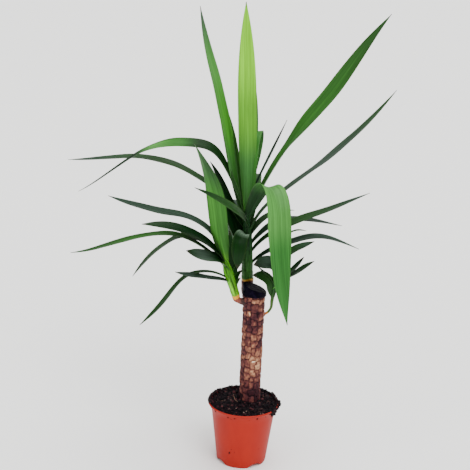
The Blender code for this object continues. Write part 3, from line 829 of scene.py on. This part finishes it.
# Dipped tree wax: black with a violet cast, semi-gloss, with slow ripples that break up the highlights.
tree_wax, node, finish = new_material("dipped_blue_black_wax")
ripple = noise_in(node, 160, 3)
wax_colour = node("ShaderNodeValToRGB", {"Fac": ripple},
                  stops=[(0.35, "#04020A"), (0.6, "#080414"), (0.75, "#160D22")])
finish(wax_colour, ranged(node, ripple, 0.3, 0.7, 0.28, 0.5), ior=1.44, specular=0.03,
       bump=(ripple, 0.6, 0.001))
add_piece("sealing_wax", closed_loft(wax_rings), tree_wax, "wax_cap", radians(60))


# Green stems
# The young stems of the shoots: wrapped in the clasping bases of old leaves, so each shows fine upright
# ribs and slanting steps, yellow-orange where it leaves the bark and green above.

STEM_TURNS = 36
STEM_STEPS = 120
BASE_SEAMS = 5
BASE_PITCH = 0.011
SHEATH_STEPS = 20

# bark, ring, low and high tints, then where along the stem the ring starts and ends
STEM_LOOKS = {
    "shoot_top": ("#44140F", "#B8862C", "#27521A", "#123014", 0.4, 0.424),
    "shoot_left": ("#8A4A3C", "#E8A030", "#66A61E", "#47881A", 0.29, 0.385),
    "shoot_right": ("#7A4236", "#CC7A2E", "#39551C", "#1F4420", 0.03, 0.13),
}


def direction(heading, rise):
    """A unit vector; heading 0 is +X, 90 is +Y, and rise is up from level."""
    a, e = radians(heading), radians(rise)
    return Vector((cos(e) * cos(a), cos(e) * sin(a), sin(e)))


# Live stem: waxy green skin over wet tissue, so a soft sheen, and fine fibres that run up it.
stem_skin, node, finish = new_material("waxy_green_stem")
tint = point_value(node, "tint", "Color")
ribs = noise_in(node, 800, 3, stretch=(1, 1, 0.06))
stem_colour = shaded(node, tint, ranged(node, ribs, 0.3, 0.7, 0.62, 1.25))
finish(stem_colour, 0.42, ior=1.42, specular=0.16, bump=(ribs, 0.35, 0.0006))

for name, shoot in SHOOTS.items():
    *stem_tints, ring_from, ring_to = STEM_LOOKS[name]
    corky, ring, low_green, high_green = (linear_from_hex(c) for c in stem_tints)
    foot, ahead = Vector(shoot["foot"]), direction(*shoot["lean"])
    *root_radii, foot_radius, top_radius = shoot["radii"]
    shares = (0.0, 0.12, 0.3, 0.5, 0.75, 1.0)
    points = [Vector(p) for p in shoot["root"]] + [foot + ahead * shoot["length"] * share for share in shares]
    radii = root_radii + [foot_radius + (top_radius - foot_radius) * share for share in shares]
    points, radii = smooth_path(points, radii, STEM_STEPS)
    for step in range(SHEATH_STEPS):
        radii[-1 - step] *= 0.35 + 0.65 * (step / SHEATH_STEPS) ** 0.7

    def stem_tint(share, turn):
        place = share + 0.008 * sin(3 * turn)
        green = blend_tints(low_green, high_green, step_between(ring_to + 0.05, 0.8, share))
        streak = noise(polar(3.4, turn, 2.2 * share))
        seam = ((turn + 2.6 * share) / tau * BASE_SEAMS) % 1.0
        wrap = 0.45 + 0.75 * step_between(0.02, 0.3, seam)
        green = tuple(c * wrap * (1 + 1.3 * streak) for c in green)
        above = blend_tints(ring, green, step_between(ring_to - 0.01, ring_to + 0.02, place))
        return blend_tints(corky, above, step_between(ring_from - 0.01, ring_from + 0.02, place))

    def stem_wave(share, turn):
        step = (share * shoot["length"] / BASE_PITCH + turn / tau) % 1.0
        return foot_radius * (0.07 * (step - 0.5) + 0.03 * noise(polar(2, turn, share * 9)))

    mesh = swept_tube(points, radii, STEM_TURNS, stem_tint, stem_wave)
    add_piece(f"stem_{name[6:]}", mesh, stem_skin, name)


# Leaves
# Long lance-shaped blades, leathery and stiff, channelled near the stem and flat further out, with fine
# parallel veins, pale rough margins and a dry brown tip. The youngest are yellow-green and stand upright,
# the oldest are dark blue-green and arch down.

LEAF_THICKNESS = 0.0008
LEAF_STEP = 0.005
LEAF_COLUMNS = 12
LEAST_STEPS = 18
TIP_WIDTH = 0.0011
DRY_TIP = 0.01
ROOT_SHARE = 0.34
WIDEST_FROM = 0.45
TAPER_FROM = 0.5
TAPER_POWER = 2.6

# The grey #38493C and steel #263A2C tints are dark greens with a painted grey sheen in them.
# The grey-green #86A288 tint is a painted highlight: the light caught along the crease of the curled leaf and
# on the short level leaf beside it.
LEAF_TINTS = {
    "young": "#84D606", "spring": "#60A810", "fresh": "#3C8020", "grass": "#306725", "meadow": "#2B5A1E",
    "pale": "#468038", "mature": "#20401A", "grey": "#38493C", "steel": "#263A2C", "deep": "#0B2A0A",
    "shade": "#032006", "dusk": "#221D20", "lake": "#2B6426", "bloom": "#86A288", "ink": "#002800",
}
dry_tint, margin_tint, under_tint = (linear_from_hex(c) for c in ("#2E2A1E", "#7C9A50", "#3F5A40"))

# Painted shade: how much darker one half of a folded blade is made, at even steps from root to tip
PAINTED_HALF_SHADES = {"leaf_left_upright": (0.62, 0.5, 0.32, 0.26, 0.48, 0.6, 0.3)}

# up the stem, headings, length, width, rises, rolls, then tints; lists run at even steps from root to tip
LEAVES = {
    "shoot_top": {
        "upright_front": (0.103, 180, 0.356, 0.031, (88, 88, 87, 87, 87), 86,
            "meadow grass spring young young"),
        "upright_folded": (0.0985, 78, 0.248, 0.026, (84, 87, 88, 40, -75, -80), 0, "meadow grass grass"),
        "upright_left": (0.094, 150, 0.368, 0.03, (60, 78, 75, 71, 79), 0, "mature grass fresh pale grey"),
        "slanting_right": (0.106, 18, 0.412, 0.031, (67, 59, 50, 55, 49), (-8, -8, -4, 22, 28, 25, 15),
            "meadow meadow mature"),
        "thin_right": (0.107, -4, 0.18, 0.0085, (79, 77, 68, 67, 68), (20, 28), "shade steel dusk"),
        "long_right": (0.066, 8, 0.356, 0.025, (80, 42, 40, 46, 53), (-6, -4, 6, 6), "mature grey mature"),
        "front_hanging": (0.108, (299, 297, 291, 308, 340), 0.334, 0.04,
            (58, 52, 34, -38, -78, -79, -79, -78, -77), (-30, -22, -12, -4, 0, 0, 8, 20, 20),
            "ink ink pale pale lake lake lake"),
        "arching_left": (0.105, 172, 0.386, 0.024, (67, 68, 62, 54, 6, -5, -21, -34, -37, -36, -30),
            (-8, -8, -10, -14, -28, -26, -14, -8, -8, -8, -8),
            "deep mature mature deep deep grass pale shade shade shade shade"),
        "level_left": (0.098, 165, 0.352, 0.024, (56, 37, 26, 12, -5, -9, -6), (0, -12), "deep mature steel"),
        "short_front_left": (0.092, (268, 250, 232, 216), 0.203, 0.017, (36, 32, 30, 28, 26),
            (-80, -70, -50, -35), "deep mature deep"),
        # The pale grey-green tint in this leaf and the next is a painted highlight along the crease.
        "curled_left": (0.081, (250, 253, 256, 258), 0.088, 0.025, (24, 6, -62, -88, -88),
            (-14, -24, -14, -4), "deep bloom ink ink deep ink"),
        "short_level_left": (0.074, 174, 0.054, 0.028, (24, 20, 16, 10), -28, "deep bloom bloom"),
        "dark_left": (0.086, 162, 0.132, 0.018, (50, 55, 61, 64, 60, 54), -14, "deep shade shade"),
        "dark_left_low": (0.05, 168, 0.135, 0.028, (56, 66, 68, 66, 62), -40, "deep shade shade"),
        "low_right_upper": (0.04, 4, 0.235, 0.021, (60, 36, 22, 24, 25), (10, 14, 3), "deep mature steel"),
        "low_right_middle": (0.056, 15, 0.185, 0.019, (54, 38, 3, -11, -12), (10, 12, 3), "deep steel steel"),
        "low_right_lower": (0.024, 3, 0.205, 0.02, (48, 28, 19, -14, -22), (10, 12, 3), "shade steel steel"),
        "inner_right": (0.07, 30, 0.109, 0.018, (58, 50, 26, 4, -6), 0, "deep mature deep"),
        "back_upright": (0.109, 92, 0.262, 0.028, (80, 77, 70, 60, 45), 0, "meadow grass meadow"),
        "back_left": (0.086, 122, 0.25, 0.026, (60, 66, 66, 62, 58), 0, "mature meadow mature"),
        "back_arching": (0.076, 84, 0.19, 0.025, (58, 46, 28, 4, -18), 0, "deep mature mature"),
        "back_low": (0.05, 100, 0.18, 0.023, (52, 42, 20, -8, -24), 0, "deep steel steel"),
    },
    "shoot_left": {
        "upright": (0.038, 182, 0.228, 0.031, (75, 75, 82, 76, 66, 62), (88, 88, 80, 50, 22),
            "young fresh fresh fresh grass grass"),
        "long_left": (0.055, 170, 0.242, 0.025, (60, 64, 29, 8, 9, 12, 17), (0, -12), "deep steel steel"),
        "dark_left": (0.05, 190, 0.169, 0.024, (61, 45, 27, 10, 0), (-10, -26), "shade shade deep"),
        "long_low_left": (0.045, 180, 0.282, 0.021, (47, 36, 18, -10, -16, -19, -7), (0, -10),
            "mature meadow mature"),
        "drooping_left": (0.055, 160, 0.217, 0.023, (50, 34, 9, -31, -42, -50, -56), (0, -8, -22, -34),
            "ink deep mature deep"),
        "broad_short": (0.04, 205, 0.093, 0.029, (62, 47, 16, 18, 26), (-10, -36), "meadow deep grey deep"),
        "low_drooping": (0.025, 190, 0.192, 0.015, (38, 15, -13, -47, -53, -47, -43), (0, -8, -25),
            "mature mature mature"),
        "low_level": (0.022, 200, 0.102, 0.021, (25, 12, 14, 12, 22), (0, -12), "deep steel steel"),
        "inner_upright": (0.01, 150, 0.1, 0.016, (84, 84, 82, 78), -60, "fresh ink deep ink"),
        "inner_right": (0.034, 40, 0.052, 0.017, (68, 80, 86), 0, "grass deep shade"),
        "bud_upper": (0.015, 340, 0.036, 0.011, (80, 68, 40), (75, 60, 40), "fresh deep deep"),
        "bud_lower": (0.012, 330, 0.025, 0.009, (69, 62, 45), (70, 60, 40), "fresh meadow deep"),
    },
    "shoot_right": {
        "hood_over_wax": (0.008, 204, 0.063, 0.022, (80, 74, 52, 18, 6), (-105, -90, -60, -46, -44),
            "mature mature ink"),
        "crossing": (0.049, 190, 0.05, 0.026, (84, 56, 8, -10, -12), (-60, -40, -34), "deep steel shade"),
        "thin_inner": (0.024, 190, 0.047, 0.008, (75, 65, 44, 40, 49), (0, -30), "mature mature steel"),
        "upright_inner": (0.03, 215, 0.089, 0.016, (82, 82, 85, 66), 0, "deep deep shade"),
        "spread_lower": (0.028, -10, 0.071, 0.015, (43, 49, 57), (5, 32), "meadow deep shade"),
        "spread_low": (0.02, -25, 0.092, 0.019, (60, 40, 41, 40, 38), (5, 32), "fresh deep deep"),
        "spread_middle": (0.032, -5, 0.103, 0.02, (76, 72, 55, 28, 25), (0, 30), "meadow mature steel"),
        "spread_upper": (0.034, -15, 0.119, 0.02, (85, 84, 80, 42, -7), 0, "deep mature mature"),
    },
}


def leaf_width(s):
    """Share of the full width: a narrow foot, widest at the middle, a long taper to the tip."""
    grow = ROOT_SHARE + (1 - ROOT_SHARE) * sin(min(s / WIDEST_FROM, 1) * pi / 2)
    taper = 1 - max((s - TAPER_FROM) / (1 - TAPER_FROM), 0) ** TAPER_POWER
    return grow * taper


def leaf_mesh(name, shoot, row, seed):
    """A blade with two skins and closed margins, and its colour and vein coordinates on each point."""
    up, headings, length, width, rises, rolls, tints = row
    count = max(LEAST_STEPS, round(length / LEAF_STEP))
    spot = Vector(shoot["foot"]) + direction(*shoot["lean"]) * up
    ahead = direction(smooth_value(headings, 0), smooth_value(rises, 0))
    luck = Random(seed)
    swing, phase = luck.uniform(0.03, 0.08), luck.uniform(0, tau)
    waves = length / luck.uniform(0.08, 0.13)
    palette = [linear_from_hex(LEAF_TINTS[t]) for t in tints.split()]
    half_shade_steps = PAINTED_HALF_SHADES.get(name, 0)
    upper, under, colours, veins = [], [], [], []
    for i in range(count + 1):
        s = i / count
        heading = smooth_value(headings, s)
        towards = direction(heading, smooth_value(rises, s))
        if i:
            spot = spot + length / count * (ahead + towards) / 2
        ahead = towards
        turned = Matrix.Rotation(radians(smooth_value(rolls, s)), 3, ahead) @ direction(heading + 90, 0)
        face = ahead.cross(turned)
        half = max(width * leaf_width(s), TIP_WIDTH) / 2
        fold = radians(8 + 26 * (1 - s) ** 3)
        place = s * (len(palette) - 1)
        low = min(int(place), len(palette) - 2)
        tint = blend_tints(palette[low], palette[low + 1], step_between(0, 1, place - low))
        tint = blend_tints(tint, dry_tint, step_between(1 - DRY_TIP / length, 1.0, s))
        for k in range(LEAF_COLUMNS + 1):
            u = 2 * k / LEAF_COLUMNS - 1
            wave = swing * half * u * u * sin(waves * tau * s + phase + 1.3 * (u > 0))
            wave *= sin(pi * min(s * 1.2, 1))
            edge = turned * half * cos(fold) * u
            lift = face * (half * sin(fold) * abs(u) ** 1.35 + wave)
            thick = LEAF_THICKNESS * (0.5 + 0.35 * (1 - u * u) + 0.35 * exp(-(u / 0.18) ** 2) * (1 - s))
            upper.append(spot + edge + lift + face * thick * 0.5)
            under.append(spot + edge + lift - face * thick * 0.5)
            # painted shade on one half of the blade
            painted_shade = smooth_value(half_shade_steps, s) * step_between(-0.1, 0.35, u)
            margin = 0.08 * step_between(0.8, 1.0, abs(u)) * (1 - step_between(0.9, 1, s))
            colours.append(tuple(c * (1 - painted_shade) for c in blend_tints(tint, margin_tint, margin)))
            veins.append((half * u, s * length, seed * 0.37))
    wide = LEAF_COLUMNS + 1
    total = len(upper)
    faces = []
    for a in range(0, count * wide, wide):
        for k in range(a, a + LEAF_COLUMNS):
            faces.append((k, k + wide, k + 1 + wide, k + 1))
            faces.append((total + k, total + k + 1, total + k + 1 + wide, total + k + wide))
        b = a + LEAF_COLUMNS
        faces.append((a, total + a, total + a + wide, a + wide))
        faces.append((b, b + wide, total + b + wide, total + b))
    tip = count * wide
    faces += [(k, k + 1, total + k + 1, total + k) for k in range(LEAF_COLUMNS)]
    faces += [(k, total + k, total + k + 1, k + 1) for k in range(tip, tip + LEAF_COLUMNS)]
    colours += [blend_tints(colour, under_tint, 0.25) for colour in colours]
    return face_out(point_mesh(upper + under, faces, tint=colours, vein=veins + veins))


# Yucca leaf: a leathery skin with a thin wax bloom, so a soft grey sheen over green, veins about 1 mm apart
# drawn at twice that so that they show, and cloudy patches a few centimetres long.
leaf_skin, node, finish = new_material("leathery_yucca_leaf")
tint = point_value(node, "tint", "Color")
vein = point_value(node, "vein", "Vector")
streaks = noise_in(node, 1, 2, 0.6, stretch=(480, 7, 1), space=vein)
fine = noise_in(node, 1, 1, stretch=(1500, 12, 1), space=vein)
clouds = noise_in(node, 1, 3, stretch=(130, 11, 1), space=vein)
light = node("ShaderNodeMath", {0: ranged(node, streaks, 0.3, 0.7, 0.74, 1.24),
                                1: ranged(node, clouds, 0.3, 0.7, 0.84, 1.16)}, operation="MULTIPLY")
leaf_colour = shaded(node, tint, light)
vein_height = node("ShaderNodeMath", {0: streaks, 1: fine})
finish(leaf_colour, ranged(node, clouds, 0.3, 0.7, 0.36, 0.5), ior=1.42, specular=0.14,
       bump=(vein_height, 0.35, 0.0004))

seed = 0
for shoot_name, rows in LEAVES.items():
    for leaf_name, row in rows.items():
        seed += 1
        piece_name = f"leaf_{shoot_name[6:]}_{leaf_name}"
        mesh = leaf_mesh(piece_name, SHOOTS[shoot_name], row, seed)
        add_piece(piece_name, mesh, leaf_skin, shoot_name)


# Studio
# A plain pale floor that runs past the frame, a bright soft dome, and large soft lights above and in front.

FLOOR_REACH = 30
PHOTO_PIXELS = 470
FOCAL_PIXELS = 1035
SENSOR = 36
CAMERA_SPOT = (-0.026, -1.6, 0.863)
CAMERA_DIP = 16.28
CAMERA_ROLL = 2.4
# heading that the light comes from, how high, softness, strength
LIGHTS = {"key": (-65, 50, 35, 2.2), "fill": (-130, 35, 60, 0.7), "top": (60, 80, 50, 3.0)}

floor_mesh = bpy.data.meshes.new("floor")
floor_corners = [(x * FLOOR_REACH, y * FLOOR_REACH, 0) for x, y in ((-1, -1), (1, -1), (1, 1), (-1, 1))]
floor_mesh.from_pydata(floor_corners, [], [(0, 1, 2, 3)])
studio_floor = new_object("floor", floor_mesh)
# Matt white card: even, with hardly any sheen.
floor_card, node, finish = new_material("matt_white_floor")
finish(linear_from_hex("#FAFAF8"), 0.9, specular=0.1)
floor_mesh.materials.append(floor_card)

world = bpy.data.worlds.new("studio")
world.use_nodes = True
feed(world.node_tree.nodes["Background"], {"Color": (1.0, 1.0, 1.0, 1.0), "Strength": 0.6})
scene.world = world

for name, (heading, rise, softness, strength) in LIGHTS.items():
    lamp = bpy.data.lights.new(name, "SUN")
    lamp.angle = radians(softness)
    lamp.energy = strength
    new_object(name, lamp).rotation_euler = direction(heading, rise).to_track_quat("Z", "Y").to_euler()

lens = bpy.data.cameras.new("camera")
lens.sensor_width = SENSOR
lens.lens = FOCAL_PIXELS / PHOTO_PIXELS * SENSOR
camera = new_object("camera", lens)
camera.matrix_world = (Matrix.Translation(CAMERA_SPOT) @ Matrix.Rotation(radians(90 - CAMERA_DIP), 4, "X")
                       @ Matrix.Rotation(radians(CAMERA_ROLL), 4, "Z"))
scene.camera = camera
